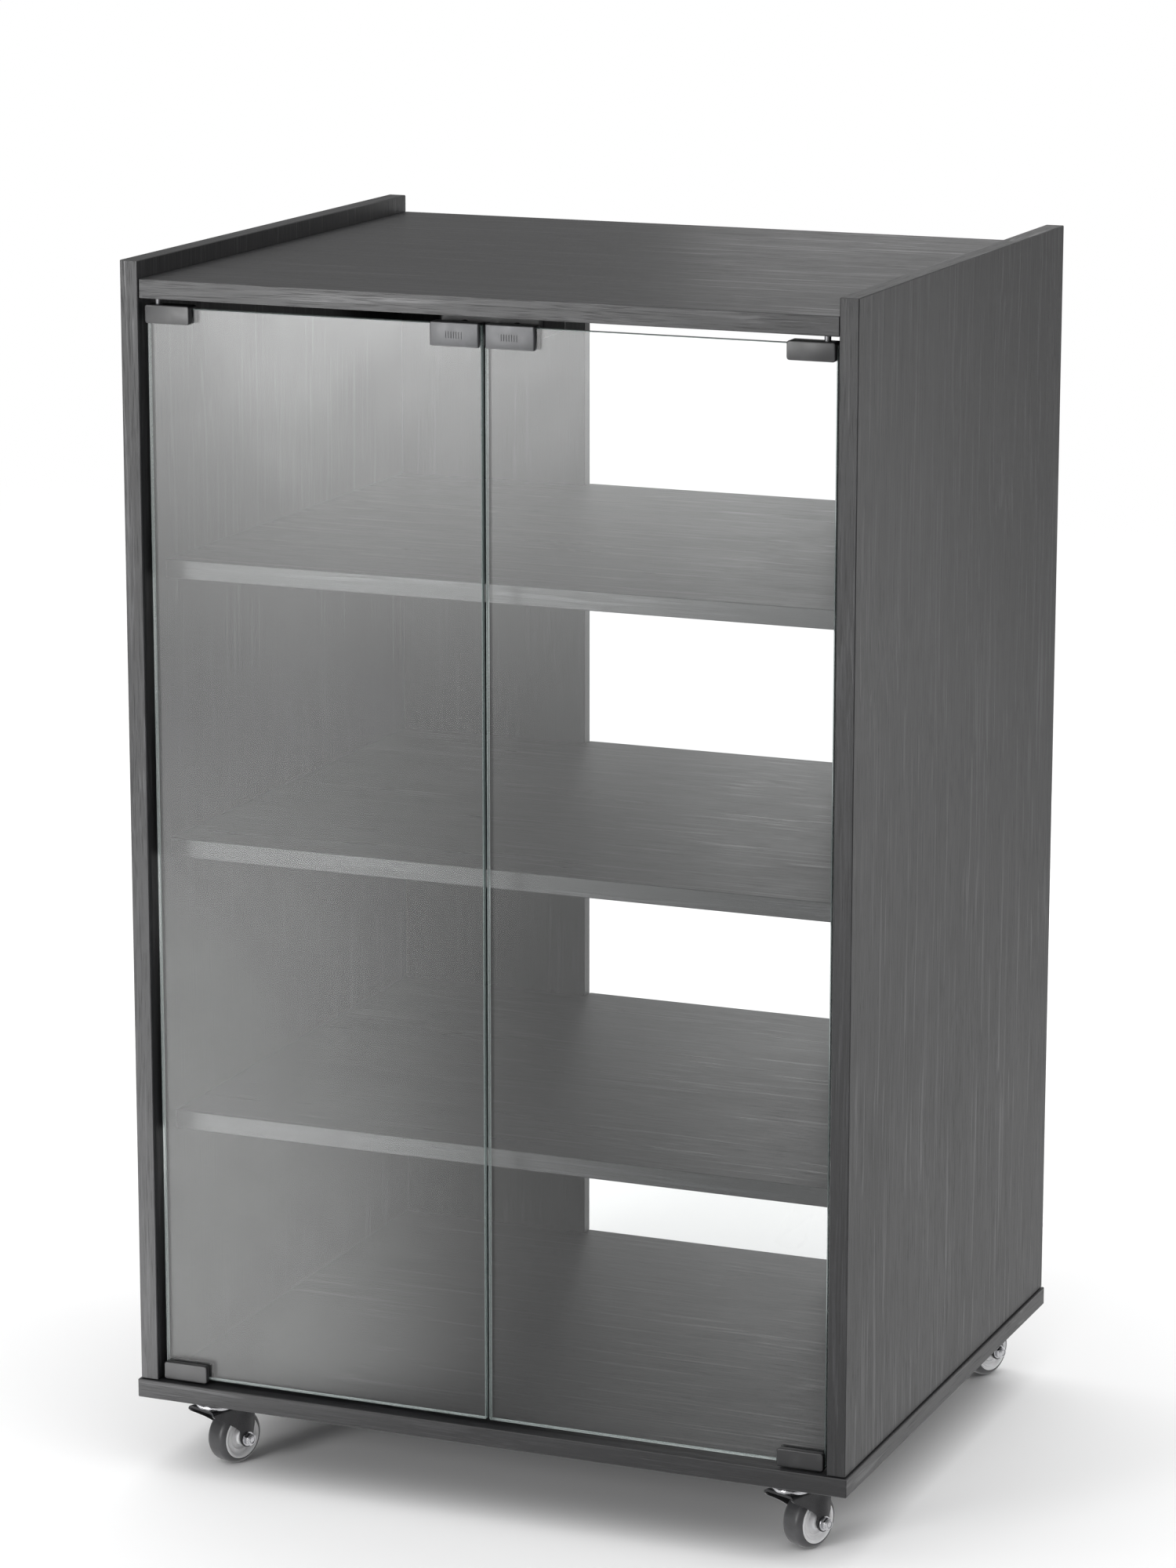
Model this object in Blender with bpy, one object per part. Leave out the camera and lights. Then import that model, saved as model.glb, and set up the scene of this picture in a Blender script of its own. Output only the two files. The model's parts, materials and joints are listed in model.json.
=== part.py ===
"""Media cabinet on four swivel castors, with two glass doors and a push latch.

Metres, +Z up. The front faces -Y, X runs to the right, and the origin is on the
floor under the middle of the cabinet. Doors are shut and the castors trail.
"""

import math

import bmesh
import bpy
from mathutils import Matrix, Vector

# Carcass
WIDTH = 0.600
DEPTH = 0.498
BOARD = 0.015
SIDE_HEIGHT = 0.902
RIDE = 0.062  # floor to the underside of the bottom panel
TOP_DROP = 0.014  # the sides stand this far above the top panel
TOP_RECESS = 0.001
BASE_OVER_SIDE = 0.002
BASE_OVER_FRONT = 0.0025
SHELF_RECESS = 0.038
SHELF_PITCH = 0.224
SHELF_LOWEST = 0.216  # top of the lowest shelf above the bottom panel
BACK_BOARD = 0.012
BACK_BOARD_WIDTH = 0.170
ARRIS = 0.0006
GAP = 0.0003

FRONT = -DEPTH / 2
REAR = DEPTH / 2
BASE_TOP = RIDE + BOARD
SIDE_BOTTOM = BASE_TOP + GAP
SIDE_TOP = BASE_TOP + SIDE_HEIGHT
TOP_UPPER = SIDE_TOP - TOP_DROP
TOP_LOWER = TOP_UPPER - BOARD
INNER = WIDTH / 2 - BOARD

# Doors
GLASS = 0.005
GLASS_FRONT = FRONT + 0.008
GLASS_MID = GLASS_FRONT + GLASS / 2
GLASS_OUTER_X = INNER - 0.004
GLASS_INNER_X = 0.0015
GLASS_BOTTOM = BASE_TOP + 0.0035
GLASS_TOP = TOP_LOWER - 0.007
SLOT = GLASS + 2 * GAP
PIVOT_X = INNER - 0.0125
CLAMP_LENGTH = 0.038
CLAMP_HEIGHT = 0.0145
CLAMP_WEB = 0.0020
CLAMP_FRONT = FRONT + 0.003
CLAMP_REAR = CLAMP_FRONT + 0.014
PIN_R = 0.0025
PIN_HEAD_R = 0.0038
BUSH_R = 0.0045
BUSH_FLANGE_R = 0.0065
STRIKE_LENGTH = 0.040
STRIKE_HEIGHT = 0.0185
STRIKE_FRONT = GLASS_FRONT - 0.003
STRIKE_REAR = GLASS_FRONT + GLASS + 0.0035
STRIKE_INNER_X = 0.0026

# Push latch
LATCH_WIDTH = 0.084
LATCH_DEPTH = 0.046
LATCH_HEIGHT = 0.0165
LATCH_FRONT = STRIKE_REAR + 0.0065
PLUNGER_X = 0.0215
PLUNGER_Z = TOP_LOWER - 0.0100
PLUNGER_R = 0.0040
PLUNGER_BORE = 0.0045
PLUNGER_LENGTH = 0.026
PLUNGER_TRAVEL = 0.003

# Castors, u along the trail, v along the axle
CASTOR_X = 0.2475
CASTOR_FRONT_Y = -0.222
CASTOR_REAR_Y = 0.214
CASTOR_YAW = math.radians(-21.0)  # turn of the axle away from +X
TRAIL = 0.020
WHEEL_R = 0.0225
WHEEL_WIDTH = 0.020
RIM_R = 0.0170
HUB_WIDTH = 0.0240
FORK_INSIDE = 0.0260
FORK_SHEET = 0.0020
FORK_TOP = 0.0532
RACE_TOP = 0.0572
AXLE_R = 0.0030
PLATE_X = 0.048
PLATE_Y = 0.038
PLATE_SHEET = 0.0022
SEGMENTS = 28
SMALL_SEGMENTS = 16


def clear_scene():
    for obj in list(bpy.data.objects):
        bpy.data.objects.remove(obj, do_unlink=True)


def material(name, color, metallic, roughness, transmission=0.0):
    made = bpy.data.materials.new(name)
    made.use_nodes = True
    shader = made.node_tree.nodes["Principled BSDF"]
    shader.inputs["Base Color"].default_value = (*color, 1.0)
    shader.inputs["Metallic"].default_value = metallic
    shader.inputs["Roughness"].default_value = roughness
    shader.inputs["Transmission Weight"].default_value = transmission
    return made


def add_object(name, bm, look, smooth=False):
    """An object from the bmesh, whose normals are turned outwards."""
    bmesh.ops.recalc_face_normals(bm, faces=bm.faces)
    mesh = bpy.data.meshes.new(name)
    bm.to_mesh(mesh)
    bm.free()
    obj = bpy.data.objects.new(name, mesh)
    bpy.context.scene.collection.objects.link(obj)
    if look is not None:
        own = look.copy()
        own.name = "look_" + name
        mesh.materials.append(own)
    for face in mesh.polygons:
        face.use_smooth = smooth
    return obj


def extrude_outline(points, low, high, frame=None):
    """A closed prism over an outline in X and Y, between two heights."""
    bm = bmesh.new()
    lower = [bm.verts.new((x, y, low)) for x, y in points]
    upper = [bm.verts.new((x, y, high)) for x, y in points]
    count = len(points)
    bm.faces.new(list(reversed(lower)))
    bm.faces.new(upper)
    for i in range(count):
        j = (i + 1) % count
        bm.faces.new((lower[i], lower[j], upper[j], upper[i]))
    if frame is not None:
        bm.transform(frame)
    return bm


def box_bm(low, high):
    (x0, y0, z0), (x1, y1, z1) = low, high
    return extrude_outline(((x0, y0), (x1, y0), (x1, y1), (x0, y1)), z0, z1)


def disc_points(radius, center=(0.0, 0.0), count=SEGMENTS, start=0.0, turn=2 * math.pi):
    """Points of a circle, or of an arc when turn is less than a whole turn."""
    whole = abs(turn) >= 2 * math.pi - 1e-6
    steps = count if whole else count - 1
    angles = [start + turn * i / steps for i in range(count)]
    return [(center[0] + radius * math.cos(a), center[1] + radius * math.sin(a)) for a in angles]


def rounded_outline(low, high, radius, steps=4):
    """A rectangle with rounded corners, counter-clockwise."""
    (x0, y0), (x1, y1) = low, high
    corners = (
        ((x1 - radius, y1 - radius), 0.0),
        ((x0 + radius, y1 - radius), math.pi / 2),
        ((x0 + radius, y0 + radius), math.pi),
        ((x1 - radius, y0 + radius), 3 * math.pi / 2),
    )
    points = []
    for center, start in corners:
        points += disc_points(radius, center, steps, start, math.pi / 2)
    return points


def lathe_bm(profile, segments=SEGMENTS):
    """A closed body turned about Z from (radius, height) points, bottom to top.

    The profile starts and ends on the axis, or is a loop clear of it.
    """
    bm = bmesh.new()
    rings = []
    for radius, height in profile:
        if radius < 1e-7:
            rings.append([bm.verts.new((0.0, 0.0, height))])
            continue
        rings.append([bm.verts.new((x, y, height)) for x, y in disc_points(radius, count=segments)])
    looped = len(rings[0]) > 1 and len(rings[-1]) > 1
    pairs = list(zip(rings, rings[1:]))
    if looped:
        pairs.append((rings[-1], rings[0]))
    for first, second in pairs:
        for i in range(segments):
            j = (i + 1) % segments
            corners = [first[i % len(first)], first[j % len(first)]]
            corners += [second[j % len(second)], second[i % len(second)]]
            unique = list(dict.fromkeys(corners))
            if len(unique) > 2:
                bm.faces.new(unique)
    return bm


def bevel(obj, width, segments=1, limit=40.0):
    made = obj.modifiers.new("Arris", "BEVEL")
    made.width = width
    made.segments = segments
    made.limit_method = "ANGLE"
    made.angle_limit = math.radians(limit)


def boolean(obj, other, operation):
    """Cuts or joins, keeping the tool as a hidden helper."""
    other.hide_render = True
    other.display_type = "WIRE"
    made = obj.modifiers.new(operation.title(), "BOOLEAN")
    made.operation = operation
    made.object = other
    made.solver = "EXACT"


def tool(name, bm):
    return add_object("tool_" + name, bm, None)


def set_origin(obj, point):
    """Puts the object's origin at a point without moving its shape."""
    shift = Vector(point)
    obj.data.transform(Matrix.Translation(-shift))
    obj.location = shift


def board(name, low, high, look, holes=()):
    """A flat board with eased edges; holes are (name, bmesh) pairs cut through it."""
    obj = add_object(name, box_bm(low, high), look)
    bevel(obj, ARRIS)
    for hole_name, bm in holes:
        boolean(obj, tool(hole_name, bm), "DIFFERENCE")
    return obj


def bush_hole(x, z_open, inward):
    """A stepped round seat for a pivot bush, open at z_open and going inward."""
    shaft = BUSH_R + GAP
    flange = BUSH_FLANGE_R + GAP
    past = z_open - inward * 0.002
    step = z_open + inward * 0.0013
    end = z_open + inward * 0.0105
    profile = [(0.0, past), (flange, past), (flange, step), (shaft, step), (shaft, end), (0.0, end)]
    bm = lathe_bm(profile, SMALL_SEGMENTS)
    bm.transform(Matrix.Translation((x, GLASS_MID, 0.0)))
    return bm


def build_carcass(wood):
    half = WIDTH / 2
    for side, name in ((-1, "left"), (1, "right")):
        xs = sorted((side * half, side * INNER))
        board(
            name + "_side_panel",
            (xs[0], FRONT, SIDE_BOTTOM),
            (xs[1], REAR, SIDE_TOP),
            wood,
        )
    holes = [(f"top_seat_{i}", bush_hole(x, TOP_LOWER, 1)) for i, x in enumerate((-PIVOT_X, PIVOT_X))]
    board(
        "top_panel",
        (-INNER + GAP, FRONT + TOP_RECESS, TOP_LOWER),
        (INNER - GAP, REAR, TOP_UPPER),
        wood,
        holes,
    )
    holes = [(f"base_seat_{i}", bush_hole(x, BASE_TOP, -1)) for i, x in enumerate((-PIVOT_X, PIVOT_X))]
    board(
        "bottom_panel",
        (-half - BASE_OVER_SIDE, FRONT - BASE_OVER_FRONT, RIDE),
        (half + BASE_OVER_SIDE, REAR + 0.001, BASE_TOP),
        wood,
        holes,
    )
    for i, name in enumerate(("lower", "middle", "upper")):
        build_shelf("shelf_" + name, BASE_TOP + SHELF_LOWEST + i * SHELF_PITCH, wood)
    for side, name in ((-1, "left"), (1, "right")):
        xs = sorted((side * (INNER - GAP), side * (INNER - BACK_BOARD_WIDTH)))
        board(
            "back_board_" + name,
            (xs[0], REAR - BACK_BOARD, BASE_TOP + GAP),
            (xs[1], REAR, TOP_LOWER - GAP),
            wood,
        )


def build_shelf(name, top, wood):
    """A shelf whose rear corners are notched round the two back boards."""
    reach = INNER - GAP
    tongue = INNER - BACK_BOARD_WIDTH - GAP
    notch = REAR - BACK_BOARD - GAP
    front = FRONT + SHELF_RECESS
    outline = (
        (-reach, front),
        (reach, front),
        (reach, notch),
        (tongue, notch),
        (tongue, REAR),
        (-tongue, REAR),
        (-tongue, notch),
        (-reach, notch),
    )
    obj = add_object(name, extrude_outline(outline, top - BOARD, top), wood)
    bevel(obj, ARRIS)


def clamp_body(name, side, upward, look):
    """A hinge clamp: a block round a door corner, slotted for the glass."""
    end = GLASS_OUTER_X
    xs = sorted((side * end, side * (end - CLAMP_LENGTH)))
    if upward:
        z1 = GLASS_TOP + GAP + CLAMP_WEB
        z0 = z1 - CLAMP_HEIGHT
        slot = (z0 - 0.003, GLASS_TOP + GAP)
        pin_hole = (GLASS_TOP - 0.001, z1 + 0.002)
    else:
        z0 = GLASS_BOTTOM - GAP - CLAMP_WEB
        z1 = z0 + CLAMP_HEIGHT
        slot = (GLASS_BOTTOM - GAP, z1 + 0.003)
        pin_hole = (z0 - 0.002, GLASS_BOTTOM + 0.001)
    outline = rounded_outline((xs[0], CLAMP_FRONT), (xs[1], CLAMP_REAR), 0.0025)
    obj = add_object(name, extrude_outline(outline, z0, z1), look)
    bevel(obj, 0.0007)
    low = (xs[0] - 0.003, GLASS_MID - SLOT / 2, slot[0])
    high = (xs[1] + 0.003, GLASS_MID + SLOT / 2, slot[1])
    boolean(obj, tool(name + "_slot", box_bm(low, high)), "DIFFERENCE")
    profile = [(0.0, pin_hole[0]), (PIN_R + GAP, pin_hole[0]), (PIN_R + GAP, pin_hole[1]), (0.0, pin_hole[1])]
    hole = lathe_bm(profile, SMALL_SEGMENTS)
    hole.transform(Matrix.Translation((side * PIVOT_X, GLASS_MID, 0.0)))
    boolean(obj, tool(name + "_pin_hole", hole), "DIFFERENCE")
    # Counterbore in the outer face of the web for the pin's collar
    collar = PIN_HEAD_R + GAP
    if upward:
        span = (z1 - 0.0011, z1 + 0.002)
    else:
        span = (z0 - 0.002, z0 + 0.0011)
    bore = lathe_bm([(0.0, span[0]), (collar, span[0]), (collar, span[1]), (0.0, span[1])], SMALL_SEGMENTS)
    bore.transform(Matrix.Translation((side * PIVOT_X, GLASS_MID, 0.0)))
    boolean(obj, tool(name + "_counterbore", bore), "DIFFERENCE")
    return obj


def pivot_pin(name, side, upward, look):
    """A shouldered pin: its stem sits in the clamp's web and its tip in the bush."""
    if upward:
        face = GLASS_TOP + GAP + CLAMP_WEB
        stem = GLASS_TOP + 2 * GAP
        tip = TOP_LOWER + 0.0080
        heights = (stem, face - 0.0008, face - 0.0001, tip - 0.0005, tip)
    else:
        face = GLASS_BOTTOM - GAP - CLAMP_WEB
        stem = GLASS_BOTTOM - 2 * GAP
        tip = BASE_TOP - 0.0080
        heights = (stem, face + 0.0008, face + 0.0001, tip + 0.0005, tip)
    profile = [
        (0.0, heights[0]),
        (PIN_R, heights[0]),
        (PIN_R, heights[1]),
        (PIN_HEAD_R, heights[1]),
        (PIN_HEAD_R, heights[2]),
        (PIN_R, heights[2]),
        (PIN_R, heights[3]),
        (PIN_R - 0.0005, heights[4]),
        (0.0, heights[4]),
    ]
    bm = lathe_bm(profile, SMALL_SEGMENTS)
    obj = add_object(name, bm, look, smooth=True)
    obj.location = (side * PIVOT_X, GLASS_MID, 0.0)
    return obj


def pivot_bush(name, side, upward, look):
    """A flanged bush let into the panel, with a blind bore for the pin."""
    if upward:
        face, inward = TOP_LOWER, 1
    else:
        face, inward = BASE_TOP, -1
    bore = PIN_R + GAP
    profile = [
        (bore, face),
        (BUSH_FLANGE_R, face),
        (BUSH_FLANGE_R, face + inward * 0.0010),
        (BUSH_R, face + inward * 0.0010),
        (BUSH_R, face + inward * 0.0102),
        (0.0, face + inward * 0.0102),
        (0.0, face + inward * 0.0086),
        (bore, face + inward * 0.0086),
    ]
    bm = bush_bm(profile)
    obj = add_object(name, bm, look, smooth=True)
    obj.location = (side * PIVOT_X, GLASS_MID, 0.0)
    return obj


def bush_bm(profile):
    """A cup turned about Z: its profile meets the axis on both sides of the floor."""
    axis_first = profile.index(next(p for p in profile if p[0] == 0.0))
    turned = profile[axis_first + 1 :] + profile[: axis_first + 1]
    return lathe_bm(turned, SMALL_SEGMENTS)


def strike_clip(name, side, look):
    """A cranked clip over a door's top corner, which the latch plunger pushes on."""
    z1 = GLASS_TOP + GAP + 0.0012
    z0 = z1 - STRIKE_HEIGHT
    xs = sorted((side * STRIKE_INNER_X, side * (STRIKE_INNER_X + STRIKE_LENGTH)))
    obj = add_object(name, box_bm((xs[0], STRIKE_FRONT, z0), (xs[1], STRIKE_REAR, z1)), look)
    bevel(obj, 0.0008)
    low = (xs[0] - 0.003, GLASS_MID - SLOT / 2, z0 - 0.003)
    high = (xs[1] + 0.003, GLASS_MID + SLOT / 2, GLASS_TOP + GAP)
    boolean(obj, tool(name + "_slot", box_bm(low, high)), "DIFFERENCE")
    return obj


def build_doors(glass, hinge, steel, nylon, clip):
    for side, name in ((-1, "left"), (1, "right")):
        pivot = (side * PIVOT_X, GLASS_MID, GLASS_BOTTOM)
        xs = sorted((side * GLASS_OUTER_X, side * GLASS_INNER_X))
        low = (xs[0], GLASS_FRONT, GLASS_BOTTOM)
        high = (xs[1], GLASS_FRONT + GLASS, GLASS_TOP)
        door = add_object("door_glass_" + name, box_bm(low, high), glass)
        set_origin(door, pivot)
        bevel(door, 0.0005)
        clip_obj = strike_clip("door_strike_" + name, side, clip)
        set_origin(clip_obj, pivot)
        for upward, level in ((True, "upper"), (False, "lower")):
            clamp = clamp_body(f"hinge_clamp_{name}_{level}", side, upward, hinge)
            set_origin(clamp, pivot)
            pivot_pin(f"hinge_pin_{name}_{level}", side, upward, steel)
            pivot_bush(f"pivot_bush_{name}_{level}", side, upward, nylon)


def build_latch(plastic, nylon):
    z1 = TOP_LOWER - GAP
    z0 = z1 - LATCH_HEIGHT
    outline = rounded_outline(
        (-LATCH_WIDTH / 2, LATCH_FRONT), (LATCH_WIDTH / 2, LATCH_FRONT + LATCH_DEPTH), 0.003
    )
    body = add_object("latch_body", extrude_outline(outline, z0, z1), plastic)
    bevel(body, 0.0008)
    for side, name in ((-1, "left"), (1, "right")):
        x = side * PLUNGER_X
        bore = lathe_bm([(0.0, -0.002), (PLUNGER_BORE, -0.002), (PLUNGER_BORE, 0.031), (0.0, 0.031)], SMALL_SEGMENTS)
        turn = Matrix.Rotation(math.radians(-90), 4, "X")
        place = Matrix.Translation((x, LATCH_FRONT, PLUNGER_Z))
        bore.transform(place @ turn)
        boolean(body, tool("latch_bore_" + name, bore), "DIFFERENCE")
        tip = STRIKE_REAR + GAP
        ease = 0.0008
        profile = [
            (0.0, 0.0),
            (PLUNGER_R - ease, 0.0),
            (PLUNGER_R, ease),
            (PLUNGER_R, PLUNGER_LENGTH),
            (0.0, PLUNGER_LENGTH),
        ]
        bm = lathe_bm(profile, SMALL_SEGMENTS)
        bm.transform(turn)
        plunger = add_object("latch_plunger_" + name, bm, nylon, smooth=True)
        plunger.location = (x, tip, PLUNGER_Z)


def fork_profile():
    """Side outline of a fork leg in (u, z), counter-clockwise from the axle end."""
    arc = disc_points(0.0068, (TRAIL, WHEEL_R), 9, math.radians(205), math.radians(150))
    upper = [(0.0290, 0.0360), (0.0290, FORK_TOP - 0.0010), (-0.0160, FORK_TOP - 0.0010)]
    return arc + upper + [(-0.0160, FORK_TOP - 0.0040), (0.0020, 0.0330)]


def build_castor(tag, x, y, steel_black, steel, rubber, white):
    swivel = Matrix.Translation((x, y, 0.0)) @ Matrix.Rotation(CASTOR_YAW, 4, "Z")
    # In the castor's own frame v is +X (the axle) and u is +Y (the trail).
    build_castor_plate(tag, x, y, steel_black)

    half = FORK_INSIDE / 2 + FORK_SHEET
    top = rounded_outline((-half, -0.0160), (half, 0.0290), 0.0045)
    fork = add_object(
        f"castor_{tag}_fork", extrude_outline(top, FORK_TOP - FORK_SHEET, FORK_TOP), steel_black
    )
    fork.matrix_world = swivel
    bevel(fork, 0.0005)
    # The prism stands along local Z, so its (u, z) outline is turned into the leg's plane.
    upright = Matrix(((0, 0, 1, 0), (1, 0, 0, 0), (0, 1, 0, 0), (0, 0, 0, 1)))
    for sign in (-1, 1):
        ends = sorted((sign * FORK_INSIDE / 2, sign * half))
        leg = tool(f"castor_{tag}_leg_{sign}", extrude_outline(fork_profile(), *ends, upright))
        leg.matrix_world = swivel
        boolean(fork, leg, "UNION")
    race_low = FORK_TOP - 0.0010
    race = tool(
        f"castor_{tag}_race",
        lathe_bm(
            [
                (0.0, race_low),
                (0.0160, race_low),
                (0.0160, RACE_TOP - 0.0016),
                (0.0138, RACE_TOP),
                (0.0, RACE_TOP),
            ],
            24,
        ),
    )
    race.matrix_world = swivel
    boolean(fork, race, "UNION")
    stud_hole = tool(
        f"castor_{tag}_stud_hole",
        lathe_bm([(0.0, 0.045), (0.0044, 0.045), (0.0044, 0.060), (0.0, 0.060)], SMALL_SEGMENTS),
    )
    stud_hole.matrix_world = swivel
    boolean(fork, stud_hole, "DIFFERENCE")
    hub_place = swivel @ Matrix.Translation((0.0, TRAIL, WHEEL_R))
    # Turned parts are made about Z and laid along the axle.
    along = hub_place @ Matrix.Rotation(math.radians(90), 4, "Y")
    axle_hole = tool(
        f"castor_{tag}_axle_hole",
        lathe_bm([(0.0, -0.02), (AXLE_R + GAP, -0.02), (AXLE_R + GAP, 0.02), (0.0, 0.02)], SMALL_SEGMENTS),
    )
    axle_hole.matrix_world = along
    boolean(fork, axle_hole, "DIFFERENCE")
    build_wheel(tag, along, steel, rubber, white)


def build_wheel(tag, along, steel, rubber, white):
    half = WHEEL_WIDTH / 2
    shoulder = 0.0035
    seat = RIM_R + GAP
    tyre_profile = [
        (seat, -half),
        (WHEEL_R - shoulder, -half),
        (WHEEL_R - 0.0010, -half + 0.0012),
        (WHEEL_R, -half + shoulder),
        (WHEEL_R, half - shoulder),
        (WHEEL_R - 0.0010, half - 0.0012),
        (WHEEL_R - shoulder, half),
        (seat, half),
    ]
    tyre = add_object(f"castor_{tag}_tyre", lathe_bm(tyre_profile), rubber, smooth=True)
    tyre.matrix_world = along

    bore = AXLE_R + GAP
    boss = HUB_WIDTH / 2
    side = [(RIM_R, half - 0.0003), (0.0145, half - 0.0003), (0.0132, half - 0.0030)]
    side += [(0.0062, half - 0.0042), (0.0054, boss), (bore, boss)]
    lower = [(radius, -height) for radius, height in reversed(side)]
    hub = add_object(f"castor_{tag}_hub", lathe_bm(lower + side, 24), white, smooth=True)
    hub.matrix_world = along

    outer = FORK_INSIDE / 2 + FORK_SHEET + GAP
    head = [
        (0.0, -outer - 0.0028),
        (0.0046, -outer - 0.0028),
        (0.0055, -outer - 0.0018),
        (0.0055, -outer),
        (AXLE_R, -outer),
        (AXLE_R, outer),
        (0.0050, outer),
        (0.0050, outer + 0.0030),
        (AXLE_R, outer + 0.0030),
        (AXLE_R, outer + 0.0042),
        (0.0, outer + 0.0042),
    ]
    axle = add_object(f"castor_{tag}_axle", lathe_bm(head, SMALL_SEGMENTS), steel, smooth=True)
    axle.matrix_world = along


def build_castor_plate(tag, x, y, look):
    """The top plate with its lower race, swivel stud and riveted head in one piece."""
    top = RIDE - GAP
    low = (x - PLATE_X / 2, y - PLATE_Y / 2)
    high = (x + PLATE_X / 2, y + PLATE_Y / 2)
    outline = rounded_outline(low, high, 0.0040)
    plate = add_object(
        f"castor_{tag}_plate", extrude_outline(outline, top - PLATE_SHEET, top), look
    )
    profile = [
        (0.0, FORK_TOP - FORK_SHEET - 0.0034),
        (0.0058, FORK_TOP - FORK_SHEET - 0.0034),
        (0.0068, FORK_TOP - FORK_SHEET - 0.0022),
        (0.0068, FORK_TOP - FORK_SHEET - GAP),
        (0.0040, FORK_TOP - FORK_SHEET - GAP),
        (0.0040, RACE_TOP + GAP),
        (0.0148, RACE_TOP + GAP),
        (0.0170, top - PLATE_SHEET + 0.0005),
        (0.0, top - PLATE_SHEET + 0.0005),
    ]
    stud_bm = lathe_bm(profile, SMALL_SEGMENTS)
    stud_bm.transform(Matrix.Translation((x, y, 0.0)))
    boolean(plate, tool(f"castor_{tag}_stud", stud_bm), "UNION")
    for i, (sx, sy) in enumerate(((-1, -1), (1, -1), (1, 1), (-1, 1))):
        center = (x + sx * (PLATE_X / 2 - 0.0060), y + sy * (PLATE_Y / 2 - 0.0055))
        hole = extrude_outline(disc_points(0.0021, center, 8), top - 0.006, top + 0.003)
        boolean(plate, tool(f"castor_{tag}_screw_hole_{i}", hole), "DIFFERENCE")


def main():
    clear_scene()
    wood = material("black_ash", (0.035, 0.035, 0.038), 0.0, 0.45)
    glass = material("clear_glass", (0.92, 0.95, 0.94), 0.0, 0.02, 1.0)
    hinge = material("black_metal", (0.02, 0.02, 0.022), 0.3, 0.4)
    steel = material("bright_steel", (0.65, 0.66, 0.68), 1.0, 0.25)
    nylon = material("black_nylon", (0.03, 0.03, 0.03), 0.0, 0.5)
    clip = material("grey_metal", (0.12, 0.12, 0.125), 0.6, 0.4)
    rubber = material("black_rubber", (0.03, 0.03, 0.032), 0.0, 0.7)
    white = material("white_hub", (0.75, 0.75, 0.76), 0.0, 0.3)
    build_carcass(wood)
    build_doors(glass, hinge, steel, nylon, clip)
    build_latch(nylon, nylon)
    for side, across in ((-1, "left"), (1, "right")):
        for y, along in ((CASTOR_FRONT_Y, "front"), (CASTOR_REAR_Y, "rear")):
            tag = f"{along}_{across}"
            build_castor(tag, side * CASTOR_X, y, hinge, steel, rubber, white)


main()
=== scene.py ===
"""Media cabinet on castors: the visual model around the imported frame.

Metres, +Z up, the front faces -Y.
"""

import json
import math

import bmesh
import bpy
from mathutils import Matrix, Vector


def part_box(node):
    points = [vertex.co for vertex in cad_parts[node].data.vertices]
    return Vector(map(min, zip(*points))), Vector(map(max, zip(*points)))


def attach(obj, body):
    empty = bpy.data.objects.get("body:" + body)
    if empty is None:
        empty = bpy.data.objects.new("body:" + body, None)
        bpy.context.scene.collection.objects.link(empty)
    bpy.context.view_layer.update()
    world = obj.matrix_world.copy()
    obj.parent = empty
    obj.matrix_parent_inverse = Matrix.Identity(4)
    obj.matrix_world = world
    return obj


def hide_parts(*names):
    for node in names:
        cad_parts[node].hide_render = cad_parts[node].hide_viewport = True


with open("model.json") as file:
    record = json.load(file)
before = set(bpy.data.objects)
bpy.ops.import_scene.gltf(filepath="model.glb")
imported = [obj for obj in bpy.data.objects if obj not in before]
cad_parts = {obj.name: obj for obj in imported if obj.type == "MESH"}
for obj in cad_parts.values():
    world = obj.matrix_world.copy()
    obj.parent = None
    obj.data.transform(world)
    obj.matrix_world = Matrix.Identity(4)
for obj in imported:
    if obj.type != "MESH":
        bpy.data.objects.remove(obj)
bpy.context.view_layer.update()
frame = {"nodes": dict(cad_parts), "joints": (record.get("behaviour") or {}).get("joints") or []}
NODES = frame["nodes"]
JOINTS = {joint["name"]: joint for joint in frame["joints"]}
SIDES = ("left", "right")
LEVELS = ("upper", "lower")
CASTORS = ("front_left", "front_right", "rear_left", "rear_right")
CORNERS = ((-1, -1), (-1, 1), (1, -1), (1, 1))
X, Y, Z = 0, 1, 2
MM = 0.001
WHITE = (1.0, 1.0, 1.0, 1.0)
HALF_TURN_X = Matrix.Rotation(math.pi, 4, "X")
QUARTER_TURN_X = Matrix.Rotation(math.pi / 2, 4, "X")

# Black ash foil
FOIL_DARK = (0.0085, 0.0085, 0.0093)
FOIL_LIGHT = (0.034, 0.034, 0.0365)
PORE_SHADE = 0.35  # colour of the pores against the dark foil
# Noise layers: cells per metre across the grain and along it, detail, distortion, and how much
# the slow drift of the board pushes them about; then the ramp that picks them out of the noise.
GRAIN = {
    "figure": ((36.0, 1.3, 2.0, 0.7, 0.5), (0.3, 0.7)),
    "streaks": ((230.0, 6.5, 1.0, 0.1, 0.6), (0.56, 0.66)),
    "lines": ((620.0, 12.0, 2.0, 0.0, 0.8), (0.52, 0.66)),
    "pores": ((1300.0, 32.0, 2.0, 0.0, 0.8), (0.54, 0.68)),
    "fleck": ((420.0, 110.0, 3.0, 1.2, 0.0), (0.35, 0.65)),
    "sparse": ((60.0, 4.0, 2.0, 0.0, 0.0), (0.35, 0.6, 0.15, 1.0)),
}
TONE_SHARES = {"figure": 0.14, "fleck": 0.14, "lines": 0.34, "streaks": 0.55}
RELIEF_SHARES = {"fleck": 0.22, "lines": 0.3, "streaks": 0.9, "pores": -0.7}
RELIEF = 0.00008
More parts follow.
